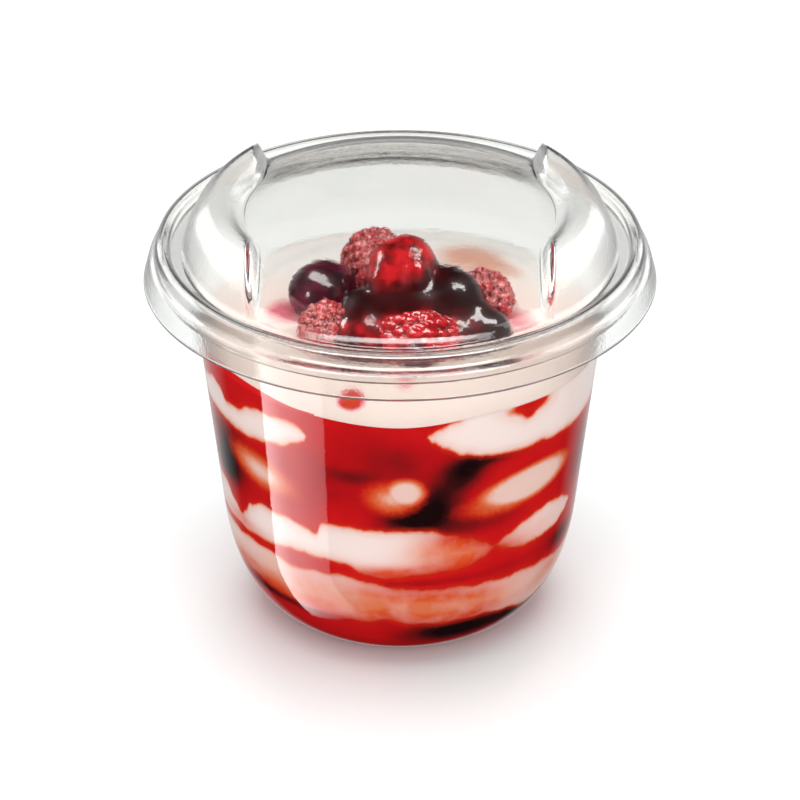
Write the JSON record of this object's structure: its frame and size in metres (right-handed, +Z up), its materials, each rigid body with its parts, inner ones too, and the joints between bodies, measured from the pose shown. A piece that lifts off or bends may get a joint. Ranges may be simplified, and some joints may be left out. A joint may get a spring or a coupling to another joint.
{
  "type": "plastic dessert cup",
  "caption": "Clear plastic dessert cup with a clear lid, filled with cream and red fruit sauce in swirled layers and topped with glazed berries.",
  "frame": {"origin": "centre of the cup's flat foot, where it stands", "axes": "+Z up along the cup's axis, -Y towards the front, +X to the right"},
  "size_m": [0.0978, 0.098, 0.0871],
  "materials": {
    "clear_plastic": "clear thermoformed sheet",
    "dark_sauce": "wet dark red fruit sauce",
    "red_sauce": "wet bright red fruit sauce",
    "peach_cream": "cream stained by sauce",
    "cream": "smooth whipped cream",
    "raspberry": "raspberry with small beads",
    "dark_berry": "glazed dark berry"
  },
  "bodies": {
    "root": {"cup": "clear_plastic", "lid": "clear_plastic", "bottom_sauce": "dark_sauce", "fruit_sauce": "dark_sauce", "lower_sauce": "red_sauce", "middle_sauce": "red_sauce", "peach_cream": "peach_cream", "middle_cream": "cream", "upper_cream_left": "cream", "upper_cream_right": "cream", "cream_fold_left": "cream", "cream_fold_centre": "cream", "cream_fold_right": "cream", "cream_fold_back": "cream", "top_cream": "cream", "raspberry_top": "raspberry", "raspberry_back": "raspberry", "raspberry_right": "raspberry", "raspberry_left": "raspberry", "raspberry_front": "raspberry", "dark_berry_left": "dark_berry", "dark_berry_right": "dark_berry", "dark_berry_front": "dark_berry", "dark_berry_back": "dark_berry"}
  },
  "joints": []
}
